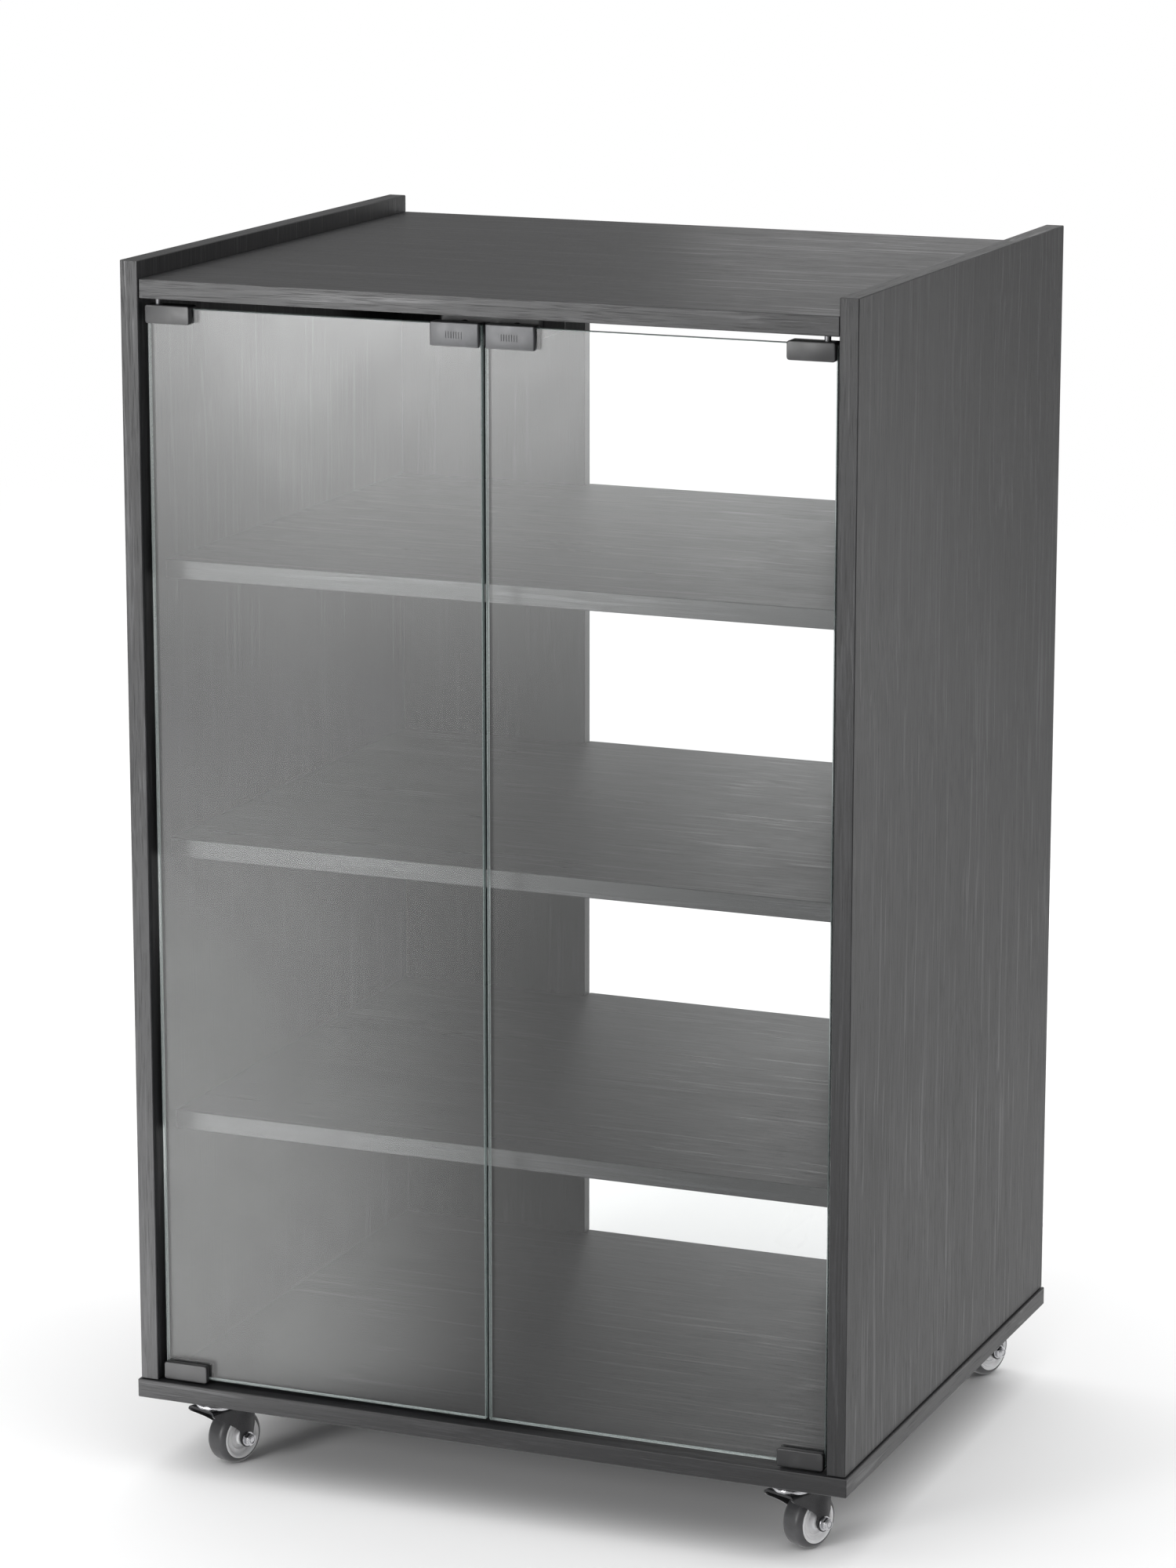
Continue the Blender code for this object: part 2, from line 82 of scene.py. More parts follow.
# Boards: material, axis of the grain, its axis on the end faces, roughness, seed of the figure.
BOARDS = {
    "left_side_panel": ("ash_side_left", Z, Y, 0.40, 3.1),
    "right_side_panel": ("ash_side_right", Z, Y, 0.40, 4.1),
    "back_board_left": ("ash_back_left", Z, X, 0.42, 7.4),
    "back_board_right": ("ash_back_right", Z, X, 0.42, 8.4),
    "top_panel": ("ash_top", X, Y, 0.38, 11.3),
    "bottom_panel": ("ash_bottom", X, Y, 0.38, 14.9),
    "shelf_lower": ("ash_shelf_lower", X, Y, 0.36, 18.2),
    "shelf_middle": ("ash_shelf_middle", X, Y, 0.36, 19.2),
    "shelf_upper": ("ash_shelf_upper", X, Y, 0.36, 20.2),
}

# Door glass
FACE_MIRROR = 0.030  # share of light that one face of the door glass mirrors, head on
FACE_TINT = (0.972, 0.98, 0.978, 1.0)
EDGE_DARK = (0.30, 0.36, 0.35)
EDGE_LIGHT = (0.42, 0.5, 0.485)

# Fittings
CAM_FROM_SIDE = 0.034
CAM_FROM_FRONT = 0.060
CAM_FROM_BACK = 0.080
BASE_SCREW_FROM_SIDE = 0.0095
BASE_SCREW_FROM_ENDS = (0.075, 0.190)
GLASS_GAP = 0.2 * MM  # room between the glass and the slot of a fitting on it
STRIKE_GROOVES = range(-3, 4)
GROOVE_PITCH = 2.1 * MM
GROOVE_HALF = (0.55 * MM, 2.6 * MM)
GROOVE_DEPTH = 0.45 * MM

# Castors
FORK_HALF = 15.0 * MM
FORK_BEND = 3.4 * MM
FORK_FRONT = -16.0 * MM
FORK_BACK = 29.0 * MM
FORK_SHEET = 2.0 * MM
LEG_END = 6.8 * MM
LEG_SWELL = 1.3 * MM  # the legs are pressed out a little round the axle
LEG_STRAIGHT = 7.0 * MM  # height above the axle up to which a leg's front edge is upright
CROWN_DROP = 4.0 * MM  # from the top of the lower race down to the crown of the fork
PLATE_SHEET = 2.2 * MM
PLATE_SCREW_INSET = (6.0 * MM, 5.5 * MM)

# Stage
FLOOR_CENTER = (-0.9, -1.0)
FLOOR_MIRRORED = 0.85  # how bright the floor is in the mirror of glossy surfaces
FLOOR_FADE = (2.3, 5.5)  # distances from its centre between which the floor fades out
SKY_HORIZON = 0.2
SKY_ZENITH = 1.8
SKY_HEIGHTS = (0.35, 0.85)  # sines of the elevations between which the sky brightens
BACKDROP = 1.0
# Softboxes: place, the point it faces, width and height, radiance in the units of the world's
# strength, the shares of its width and height that fade at the edges, and what is left there.
SOFTBOXES = {
    "key_front_left": (
        (-1.5, -3.3, 1.0), (-1.2, -0.2, 0.9), (1.6, 1.8), 17.0, (0.5, 0.22), (0.0, 0.06)
    ),
    "low_front_left": ((-0.98, -1.45, 0.03), None, (0.95, 2.6), 4.0, (0.33, 0.04), (0.0, 0.7)),
    "rear_left": ((-0.1, 2.4, 0.8), (-0.1, 0.0, 0.8), (1.5, 1.5), 0.8),
    "rear_right": ((1.45, 1.25, 0.55), (0.85, 0.0, 0.5), (0.8, 1.0), 3.4, (0.35, 0.25)),
}
LOW_BOX_YAW = math.radians(-25.0)  # turn of the softbox that lies on the floor

# Camera: fitted to the edges of the cabinet in the photograph, in degrees and millimetres
CAMERA_PLACE = (1.5187, -3.7251, 1.4547)
CAMERA_YAW = 22.368
CAMERA_PITCH = 12.795
CAMERA_ROLL = 0.03
CAMERA_LENS = 117.38


# ---------------------------------------------------------------- node helpers
class Shader:
    """A material's node tree with a Principled shader, and short ways to add to it."""

    def __init__(self, name):
        self.material = bpy.data.materials.new(name)
        self.material.use_nodes = True
        self.tree = self.material.node_tree
        self.main = self.tree.nodes["Principled BSDF"]
        self.coordinates = self.tree.nodes.new("ShaderNodeTexCoord")
        self.position = self.coordinates.outputs["Object"]

    def node(self, kind, inputs=(), **settings):
        made = self.tree.nodes.new(kind)
        for key, value in settings.items():
            setattr(made, key, value)
        for key, value in dict(inputs).items():
            self.feed(made.inputs[key], value)
        return made

    def feed(self, socket, value):
        if isinstance(value, bpy.types.NodeSocket):
            self.tree.links.new(value, socket)
        else:
            socket.default_value = value

    def set(self, **values):
        """Fixed numbers and colours, or links, on the Principled shader."""
        for key, value in values.items():
            socket = self.main.inputs[key.replace("_", " ")]
            if socket.type == "RGBA" and isinstance(value, tuple):
                value = (*value, 1.0)
            self.feed(socket, value)

    def math(self, operation, *values):
        return self.node("ShaderNodeMath", enumerate(values), operation=operation).outputs[0]

    def vector(self, operation, *values):
        made = self.node("ShaderNodeVectorMath", enumerate(values), operation=operation)
        return made.outputs["Value" if operation == "LENGTH" else "Vector"]

    def slope(self, axis):
        """How squarely the surface looks along one axis of the object, from 0 to 1."""
        split = self.node("ShaderNodeSeparateXYZ", {0: self.coordinates.outputs["Normal"]})
        return self.math("ABSOLUTE", split.outputs[axis])

    def noise(self, vector, detail, roughness=0.5, distortion=0.0):
        inputs = {"Vector": vector, "Scale": 1.0, "Detail": detail, "Roughness": roughness}
        inputs["Distortion"] = distortion
        return self.node("ShaderNodeTexNoise", inputs).outputs["Fac"]

    def speckle(self, cells, detail, roughness=0.5, distortion=0.0):
        """Even noise over the object, with so many cells to the metre."""
        vector = self.vector("MULTIPLY", self.position, (cells, cells, cells))
        return self.noise(vector, detail, roughness, distortion)

    def ramp(self, value, low, high, out_low=0.0, out_high=1.0):
        """value between low and high, mapped smoothly to out_low and out_high."""
        inputs = {"Value": value, "From Min": low, "From Max": high}
        inputs.update({"To Min": out_low, "To Max": out_high})
        made = self.node("ShaderNodeMapRange", inputs, interpolation_type="SMOOTHSTEP")
        return made.outputs["Result"]

    def weighed(self, parts, shares):
        """The sum of the named parts, each times its share."""
        terms = [self.math("MULTIPLY", parts[name], share) for name, share in shares.items()]
        total = terms[0]
        for term in terms[1:]:
            total = self.math("ADD", total, term)
        return total

    def mix_color(self, factor, first, second):
        made = self.node("ShaderNodeMix", data_type="RGBA")
        self.feed(made.inputs["Factor"], factor)
        for index, value in ((6, first), (7, second)):
            if isinstance(value, tuple) and len(value) == 3:
                value = (*value, 1.0)
            self.feed(made.inputs[index], value)
        return made.outputs[2]

    def mix_vector(self, factor, first, second):
        made = self.node("ShaderNodeMix", data_type="VECTOR")
        self.feed(made.inputs["Factor"], factor)
        self.feed(made.inputs[4], first)
        self.feed(made.inputs[5], second)
        return made.outputs[1]

    def mix_shader(self, factor, first, second):
        return self.node("ShaderNodeMixShader", {0: factor, 1: first, 2: second}).outputs[0]

    def bump(self, height, distance, strength):
        inputs = {"Height": height, "Distance": distance, "Strength": strength}
        return self.node("ShaderNodeBump", inputs).outputs["Normal"]

    def finish(self, surface):
        self.feed(self.tree.nodes["Material Output"].inputs["Surface"], surface)
        return self.material


def shade(color, factor, lift=0.0):
    return tuple(min(1.0, c * factor + lift) for c in color)


def ash_laminate(name, axis, end_axis, gloss, seed):
    """Black ash foil: broad figure, fine lines and open pores, all running along one axis."""
    shader = Shader(name)
    drift = shader.math("MULTIPLY", shader.speckle(3.0, 2.0), 9.0)
    shift = shader.node("ShaderNodeCombineXYZ", {0: drift, 1: drift, 2: drift}).outputs[0]
    end_face = shader.math("GREATER_THAN", shader.slope(axis), 0.6)

    def layer(across, along, detail, distortion, moved):
        """Noise squeezed along the grain, which turns on the board's end faces."""
        spaces = []
        for grain in (axis, end_axis):
            scale = [across, across, across]
            scale[grain] = along
            spaces.append(shader.vector("MULTIPLY", shader.position, scale))
        out = shader.mix_vector(end_face, *spaces)
        out = shader.vector("ADD", out, (seed, seed * 1.7, seed * 0.6))
        if moved:
            out = shader.vector("ADD", out, shader.vector("MULTIPLY", shift, (moved, moved, moved)))
        return shader.noise(out, detail, 0.55, distortion)

    grain = {part: shader.ramp(layer(*cells), *picked) for part, (cells, picked) in GRAIN.items()}
    grain["streaks"] = shader.math("MULTIPLY", grain["streaks"], grain["sparse"])
    colour = shader.mix_color(shader.weighed(grain, TONE_SHARES), FOIL_DARK, FOIL_LIGHT)
    open_pores = shader.math("MULTIPLY", grain["pores"], 0.6)
    colour = shader.mix_color(open_pores, colour, shade(FOIL_DARK, PORE_SHADE))
    roughness = shader.ramp(grain["figure"], 0.0, 1.0, gloss + 0.015, gloss)
    roughness = shader.math("SUBTRACT", roughness, shader.math("MULTIPLY", grain["streaks"], 0.09))
    roughness = shader.math("ADD", roughness, shader.math("MULTIPLY", grain["pores"], 0.12))
    rubbed = shader.ramp(shader.speckle(9.0, 4.0), 0.4, 0.7, -0.01, 0.012)
    shader.set(
        Base_Color=colour,
        Roughness=shader.math("ADD", roughness, rubbed),
        Normal=shader.bump(shader.weighed(grain, RELIEF_SHARES), RELIEF, 0.7),
    )
    return shader.material


def painted_metal(name, color, roughness, metallic=0.0):
    """Satin paint or plating with a fine orange peel and slightly rubbed patches."""
    shader = Shader(name)
    rub = shader.speckle(60.0, 4.0, 0.6)
    shader.set(
        Base_Color=shader.mix_color(shader.ramp(rub, 0.45, 0.72), color, shade(color, 1.35, 0.004)),
        Metallic=metallic,
        Roughness=shader.ramp(rub, 0.3, 0.75, roughness - 0.06, roughness + 0.08),
        Normal=shader.bump(shader.speckle(900.0, 2.0), 0.00004, 0.5),
    )
    return shader.material


def bright_steel(name, color=(0.62, 0.62, 0.64), roughness=0.26):
    """Zinc-plated turned steel, with fine turning marks and a cloudy plating."""
    shader = Shader(name)
    cloud = shader.speckle(240.0, 3.0)
    shader.set(
        Base_Color=shader.mix_color(shader.ramp(cloud, 0.3, 0.7), shade(color, 0.8), color),
        Metallic=1.0,
        Roughness=shader.ramp(cloud, 0.3, 0.7, roughness - 0.07, roughness + 0.1),
        Normal=shader.bump(shader.speckle(3500.0, 1.0), 0.00002, 0.4),
    )
    return shader.material


def moulded_plastic(
    name, color, roughness, texture=1800.0, bump=0.00003, contrast=0.12, subsurface=0.0
):
    """Moulded plastic or rubber with a fine spark texture and slight flow marks."""
    shader = Shader(name)
    flow = shader.speckle(85.0, 3.0, 0.6, 0.8)
    tone = shader.ramp(flow, 0.3, 0.7)
    shader.set(
        Base_Color=shader.mix_color(tone, shade(color, 1.0 - contrast), shade(color, 1.0 + contrast)),
        Roughness=shader.ramp(flow, 0.25, 0.75, roughness - 0.05, roughness + 0.07),
        Normal=shader.bump(shader.speckle(texture, 2.0), bump, 0.6),
    )
    if subsurface:
        shader.set(Subsurface_Weight=subsurface, Subsurface_Radius=(0.002, 0.0018, 0.0016))
    return shader.material


def door_glass(name):
    """Clear float glass: each face passes most light and mirrors a little, more at a slant.

    Head on the mirror is blurred by faint smudges; at a slant it is sharp. The ground edges
    scatter light and show the faint tint of the thickness.
    """
    shader = Shader(name)
    edge = shader.math("LESS_THAN", shader.slope(Y), 0.9)
    ground = shader.speckle(2600.0, 2.0)
    slant = shader.node("ShaderNodeLayerWeight", {"Blend": 0.5}).outputs["Facing"]
    rise = shader.math("POWER", slant, 5.0)
    share = shader.math("MULTIPLY_ADD", rise, 1.0 - FACE_MIRROR, FACE_MIRROR)
    clear = shader.node("ShaderNodeBsdfTransparent", {"Color": FACE_TINT})
    smudge = shader.ramp(shader.speckle(7.0, 5.0, 0.6, 0.4), 0.3, 0.75, 0.23, 0.28)
    blur = shader.math("MULTIPLY", smudge, shader.ramp(slant, 0.3, 0.75, 1.0, 0.12))
    mirror = shader.node("ShaderNodeBsdfGlossy", {"Color": WHITE, "Roughness": blur})
    face = shader.mix_shader(share, clear.outputs[0], mirror.outputs[0])
    shader.set(
        Base_Color=shader.mix_color(ground, EDGE_DARK, EDGE_LIGHT),
        Roughness=shader.ramp(ground, 0.3, 0.7, 0.18, 0.34),
        Transmission_Weight=0.5,
        IOR=1.5,
        Normal=shader.bump(ground, 0.00004, 0.5),
    )
    return shader.finish(shader.mix_shader(edge, face, shader.main.outputs[0]))


# ---------------------------------------------------------------- mesh helpers
def mm(*points):
    """Points given in millimetres."""
    return [(x * MM, y * MM) for x, y in points]


def disc_points(radius, count, center=(0.0, 0.0), start=0.0, turn=2 * math.pi, closed=True):
    steps = count if closed else count - 1
    angles = [start + turn * i / steps for i in range(count)]
    return [(center[0] + radius * math.cos(a), center[1] + radius * math.sin(a)) for a in angles]


def lathe(profile, segments):
    """A body turned about Z from (radius, height) points; a point on the axis closes it."""
    bm = bmesh.new()
    rings = []
    for radius, height in profile:
        ring = disc_points(radius, segments) if radius > 1e-7 else [(0.0, 0.0)]
        rings.append([bm.verts.new((x, y, height)) for x, y in ring])
    pairs = list(zip(rings, rings[1:]))
    if len(rings[0]) > 1 and len(rings[-1]) > 1:
        pairs.append((rings[-1], rings[0]))
    for first, second in pairs:
        for i in range(segments):
            j = (i + 1) % segments
            corners = [first[i % len(first)], first[j % len(first)]]
            corners += [second[j % len(second)], second[i % len(second)]]
            unique = list(dict.fromkeys(corners))
            if len(unique) > 2:
                bm.faces.new(unique)
    return bm


def prism(points, low, high):
    bm = bmesh.new()
    lower = [bm.verts.new((x, y, low)) for x, y in points]
    upper = [bm.verts.new((x, y, high)) for x, y in points]
    bm.faces.new(list(reversed(lower)))
    bm.faces.new(upper)
    for i in range(len(points)):
        j = (i + 1) % len(points)
        bm.faces.new((lower[i], lower[j], upper[j], upper[i]))
    return bm


def upright_prism(outline, front, rear):
    """A prism on an outline in X and Z, between two places along Y."""
    bm = prism(outline, -rear, -front)
    bm.transform(QUARTER_TURN_X)
    return bm


def rounded_outline(low, high, radius, steps=8):
    (x0, y0), (x1, y1) = low, high
    corners = (
        ((x1 - radius, y1 - radius), 0.0),
        ((x0 + radius, y1 - radius), math.pi / 2),
        ((x0 + radius, y0 + radius), math.pi),
        ((x1 - radius, y0 + radius), 3 * math.pi / 2),
    )
    points = []
    for center, start in corners:
        points += disc_points(radius, steps, center, start, math.pi / 2, closed=False)
    return points


def box_bm(low, high):
    corners = ((low[0], low[1]), (high[0], low[1]), (high[0], high[1]), (low[0], high[1]))
    return prism(corners, low[2], high[2])


def mesh_from(bm, name):
    bmesh.ops.recalc_face_normals(bm, faces=bm.faces)
    mesh = bpy.data.meshes.new(name)
    bm.to_mesh(mesh)
    bm.free()
    return mesh


def linked(name, data):
    """A new object in the scene."""
    obj = bpy.data.objects.new(name, data)
    bpy.context.scene.collection.objects.link(obj)
    return obj


def bevel_edges(obj, width, segments, limit):
    made = obj.modifiers.new("Edge", "BEVEL")
    made.width = width
    made.segments = segments
    made.limit_method = "ANGLE"
    made.angle_limit = math.radians(limit)
    made.use_clamp_overlap = True


def applied(obj):
    """The object's mesh with its modifiers applied; the object goes."""
    bpy.context.view_layer.update()
    evaluated = obj.evaluated_get(bpy.context.evaluated_depsgraph_get())
    result = bpy.data.meshes.new_from_object(evaluated)
    discard(obj)
    return result


def discard(obj):
    mesh = obj.data
    bpy.data.objects.remove(obj)
    bpy.data.meshes.remove(mesh)


def shaped(bm, name, bevel=0.0, segments=3, cuts=()):
    """A mesh with its sharp edges rounded and then the cutters, which are bmeshes, taken out."""
    obj = linked(name + "_raw", mesh_from(bm, name + "_raw"))
    if bevel:
        bevel_edges(obj, bevel, segments, 35.0)
    cutters = []
    for i, cut in enumerate(cuts):
        cutter = linked(f"{name}_cut_{i}", mesh_from(cut, f"{name}_cut_{i}"))
        made = obj.modifiers.new("Cut", "BOOLEAN")
        made.operation = "DIFFERENCE"
        made.solver = "EXACT"
        made.object = cutter
        cutters.append(cutter)
    result = applied(obj)
    for cutter in cutters:
        discard(cutter)
    return result


def sheet_metal(mesh, name, thickness, bevel):
    """Thickens an open mesh inwards and rounds its cut edge."""
    obj = linked(name, mesh)
    made = obj.modifiers.new("Sheet", "SOLIDIFY")
    made.thickness = thickness
    made.offset = -1.0
    bevel_edges(obj, bevel, 2, 50.0)
    return applied(obj)


def join(parts):
    """One bmesh from several meshes or bmeshes."""
    whole = bmesh.new()
    for part in parts:
        mesh = part if isinstance(part, bpy.types.Mesh) else mesh_from(part, "part")
        whole.from_mesh(mesh)
        bpy.data.meshes.remove(mesh)
    return whole


def spread(master, places):
    """Copies of a mesh, one for each matrix, joined to one bmesh; the mesh goes."""
    parts = []
    for place in places:
        part = master.copy()
        part.transform(place)
        parts.append(part)
    bpy.data.meshes.remove(master)
    return join(parts)


def piece(name, mesh, look, body, replaces=(), matrix=None, smooth=35.0):
    """Adds a finished piece that rides on a body and takes its finish from a slot."""
    if isinstance(mesh, bmesh.types.BMesh):
        mesh = mesh_from(mesh, name)
    if matrix is not None:
        mesh.transform(matrix)
    mesh.materials.clear()
    mesh.materials.append(look)
    for face in mesh.polygons:
        face.use_smooth = True
    mesh.set_sharp_from_angle(angle=math.radians(smooth))
    obj = linked(name, mesh)
    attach(obj, body)
    if replaces:
        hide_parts(*replaces)


def wear(node, look):
    """Gives a carried-over CAD node its finished material."""
    for slot in NODES[node].material_slots:
        slot.material = look


# ---------------------------------------------------------------- carcass
def cross_recess(depth, length, width):
    """Cutters for a cross recess in a screw head whose top is at z = 0."""
    first = box_bm((-length / 2, -width / 2, -depth), (length / 2, width / 2, 1 * MM))
    second = box_bm((-width / 2, -length / 2, -depth), (width / 2, length / 2, 1 * MM))
    return (first, second)


def cam_lock():
    """A cast cam disc that stands 0.3 mm out of its bore, with its screwdriver cross."""
    profile = mm((0.0, -0.6), (7.5, -0.6), (7.5, 0.1), (7.2, 0.3), (6.0, 0.3), (5.8, 0.0), (0.0, 0.0))
    return shaped(lathe(profile, 32), "cam", cuts=cross_recess(0.35 * MM, 6.4 * MM, 1.3 * MM))


def base_screw():
    """A countersunk screw head with a hexagon socket, seen from its top at z = 0."""
    profile = mm((0.0, -0.5), (4.8, -0.5), (4.8, -0.05), (4.5, 0.1), (0.0, 0.1))
    socket = prism(disc_points(2.2 * MM, 6), -0.4 * MM, 1 * MM)
    return shaped(lathe(profile, 32), "base_screw", cuts=(socket,))


def under_board(board, x_inset, y_insets):
    """Places on a board's underside, looking down, at insets from its sides, front and back."""
    low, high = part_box(board)
    return [
        Matrix.Translation((x, y, low.z)) @ HALF_TURN_X
        for x in (low.x + x_inset, high.x - x_inset)
        for y in y_insets(low.y, high.y)
    ]


def add_fittings(zinc):
    """Cam discs under the shelves and the top, and the screws under the bottom panel."""

    def cam_rows(front, back):
        return (front + CAM_FROM_FRONT, back - CAM_FROM_BACK)

    def screw_rows(front, back):
        near, far = BASE_SCREW_FROM_ENDS
        return (front + near, front + far, back - far, back - near)

    for board in ("shelf_lower", "shelf_middle", "shelf_upper", "top_panel"):
        cams = spread(cam_lock(), under_board(board, CAM_FROM_SIDE, cam_rows))
        piece(f"{board}_cams", cams, zinc, "cabinet")
    places = under_board("bottom_panel", BASE_SCREW_FROM_SIDE, screw_rows)
    piece("base_screws", spread(base_screw(), places), zinc, "cabinet")


# ---------------------------------------------------------------- doors
def glass_slot(node, glass, upward):
    """A cutter for the glass that passes through a fitting on a door's top or bottom edge."""
    low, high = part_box(node)
    pane_low, pane_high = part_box(glass)
    margin = 3 * MM
    if upward:
        z0, z1 = low.z - margin, pane_high.z + GLASS_GAP
    else:
        z0, z1 = pane_low.z - GLASS_GAP, high.z + margin
    front, rear = pane_low.y - GLASS_GAP, pane_high.y + GLASS_GAP
    return box_bm((low.x - margin, front, z0), (high.x + margin, rear, z1))


def grub_screws(points):
    """Grub screws with hexagon sockets whose faces stand at the points and look backwards."""
    radius, length, chamfer = 2.3 * MM, 3.4 * MM, 0.25 * MM
    profile = [(0.0, -length), (radius, -length), (radius, -chamfer), (radius - chamfer, 0.0)]
    profile += [(0.0, 0.0)]
    socket = prism(disc_points(radius * 0.58, 6), -0.9 * MM, 1 * MM)
    turn = Vector((0, 0, 1)).rotation_difference(Vector((0, 1, 0))).to_matrix().to_4x4()
    screw = shaped(lathe(profile, 24), "grub", cuts=(socket,))
    return spread(screw, [Matrix.Translation(point) @ turn for point in points])


def fitting_block(node, glass, upward, radius, bevel, cuts=()):
    """A rounded block in the place of a door fitting, slotted for the glass."""
    low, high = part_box(node)
    outline = rounded_outline((low.x, low.z), (high.x, high.z), radius)
    block = upright_prism(outline, low.y, high.y)
    return shaped(block, node, bevel, 4, (glass_slot(node, glass, upward), *cuts))


def add_clamps(black, zinc):
    for side in SIDES:
        for level in LEVELS:
            node = f"hinge_clamp_{side}_{level}"
            body, glass = "door_" + side, "door_glass_" + side
            low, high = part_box(node)
            mesh = fitting_block(node, glass, level == "upper", 2.2 * MM, 0.9 * MM)
            piece(node + "_block", mesh, black, body, (node,))
            middle = (low.z + high.z) / 2 + (-1.4 * MM if level == "upper" else 1.4 * MM)
            xs = (low.x + 10 * MM, high.x - 10 * MM)
            screws = grub_screws([(x, high.y + 0.05 * MM, middle) for x in xs])
            piece(node + "_grub_screws", screws, zinc, body)


def add_strikes(look):
    """Clips on the glass, with upright grooves in place of the printed word."""
    for side in SIDES:
        node = "door_strike_" + side
        low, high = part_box(node)
        center = (low.x + high.x) / 2
        middle = (low.z + high.z) / 2 - 0.4 * MM
        half_x, half_z = GROOVE_HALF
        grooves = []
        for i in STRIKE_GROOVES:
            x = center + i * GROOVE_PITCH
            corners = (x - half_x, middle - half_z), (x + half_x, middle + half_z)
            outline = rounded_outline(*corners, 0.5 * MM, 4)
            grooves.append(upright_prism(outline, low.y - 2 * MM, low.y + GROOVE_DEPTH))
        mesh = fitting_block(node, "door_glass_" + side, True, 1.2 * MM, 1.0 * MM, grooves)
        piece(node + "_clip", mesh, look, "door_" + side, (node,))


# ---------------------------------------------------------------- castors
def castor_frame(tag):
    """The castor's swivel frame (X along the axle, Y along the trail) and its wheel frame."""
    swivel = JOINTS[f"castor_{tag}_swivel"]
    roll = JOINTS[f"castor_{tag}_roll"]
    axle = Vector(roll["axis"]).normalized()
    trail = Vector((0, 0, 1)).cross(axle)
    place = Matrix((
        (axle.x, trail.x, 0.0, swivel["pos_m"][0]),
        (axle.y, trail.y, 0.0, swivel["pos_m"][1]),
        (0.0, 0.0, 1.0, 0.0),
        (0.0, 0.0, 0.0, 1.0),
    ))
    turned = place.to_3x3().to_4x4() @ Matrix.Rotation(math.pi / 2, 4, "Y")
    return place, Matrix.Translation(roll["pos_m"]) @ turned


def mirrored(side):
    """The lower half of a lathe profile, mirrored from its upper half."""
    return [(radius, -height) for radius, height in reversed(side)]


def tyre_mesh():
    """A soft tread with round shoulders, a parting line and a lip where it meets the hub."""
    (center_r, center_h), (wide, high) = mm((17.3, 4.2), (5.2, 5.6))
    side = mm((22.48, 2.0), (22.5, 0.35))
    for i in range(15):
        angle = math.radians(4 + 74 * i / 14)
        side.append((center_r + wide * math.cos(angle), center_h + high * math.sin(angle)))
    side += mm((18.15, 9.55), (17.9, 9.2), (17.3, 9.0))
    return lathe(mirrored(side) + mm((22.42, 0.0)) + side, 96)


def hub_mesh():
    """A dished hub: rolled rim, a deep channel, a raised ring and the bearing boss."""
    rim = mm((17.25, 8.7), (17.9, 9.35), (17.75, 9.8), (17.2, 9.95), (16.2, 9.9), (15.4, 9.5))
    channel = mm((14.7, 8.2), (13.9, 7.3), (12.9, 7.1), (12.3, 7.5))
    ring = mm((11.9, 8.1), (11.3, 8.3), (10.6, 8.1), (10.2, 7.2), (9.6, 6.4), (8.2, 6.2), (7.4, 6.6))
    boss = mm((7.0, 8.0), (6.7, 10.6), (6.3, 11.2), (5.4, 11.4), (4.6, 11.4), (4.3, 11.1), (4.25, 9.8))
    side = rim + channel + ring + boss + mm((3.3, 9.6))
    return lathe(mirrored(side) + side, 96)


def bearing_sleeves():
    """The bright sleeves between the hub's boss and the fork, one at each end."""
    side = mm((3.1, 9.7), (4.1, 9.7), (4.1, 12.3), (4.6, 12.5), (4.6, 12.9), (3.1, 12.9))
    return join([lathe([(r, h * sign) for r, h in side], 32) for sign in (-1, 1)])


def unit(value):
    """The value kept between 0 and 1."""
    return min(1.0, max(0.0, value))


def fork_span(z, center, top):
    """Front and back edges of a fork leg at a height: upright at the axle, flared to the crown."""
    u0, z0 = center
    reach = LEG_END if z > z0 else math.sqrt(max(0.0, LEG_END**2 - (z - z0) ** 2))
    flare = unit((z - z0 - LEG_STRAIGHT) / (top - 4.5 * MM - z0 - LEG_STRAIGHT))
    front = u0 - reach + (FORK_FRONT - u0 + LEG_END) * flare**1.25
    rise = unit((z - z0) / (13.0 * MM))
    back = u0 + reach + (FORK_BACK - u0 - LEG_END) * (rise * rise * (3 - 2 * rise))
    return front, back


def fork_path(center, top):
    """Half of the sheet's section, from a leg's end to the crown: place, height and edges."""
    z0 = center[1]
    rise = top - FORK_BEND - z0
    angles = [math.pi / 2 * i / 7 for i in range(7)]
    path = [(FORK_HALF, z0 - LEG_END * math.cos(a)) for a in angles]
    path += [(FORK_HALF, z0 + rise * i / 12) for i in range(13)]
    for a in [math.pi / 2 * i / 6 for i in range(1, 7)]:
        bend = FORK_HALF - FORK_BEND + FORK_BEND * math.cos(a)
        path.append((bend, top - FORK_BEND + FORK_BEND * math.sin(a)))
    half = [(v, z, fork_span(z, center, top)) for v, z in path]
    return half + [(FORK_HALF * f, top, (FORK_FRONT, FORK_BACK)) for f in (0.5, 0.25)]


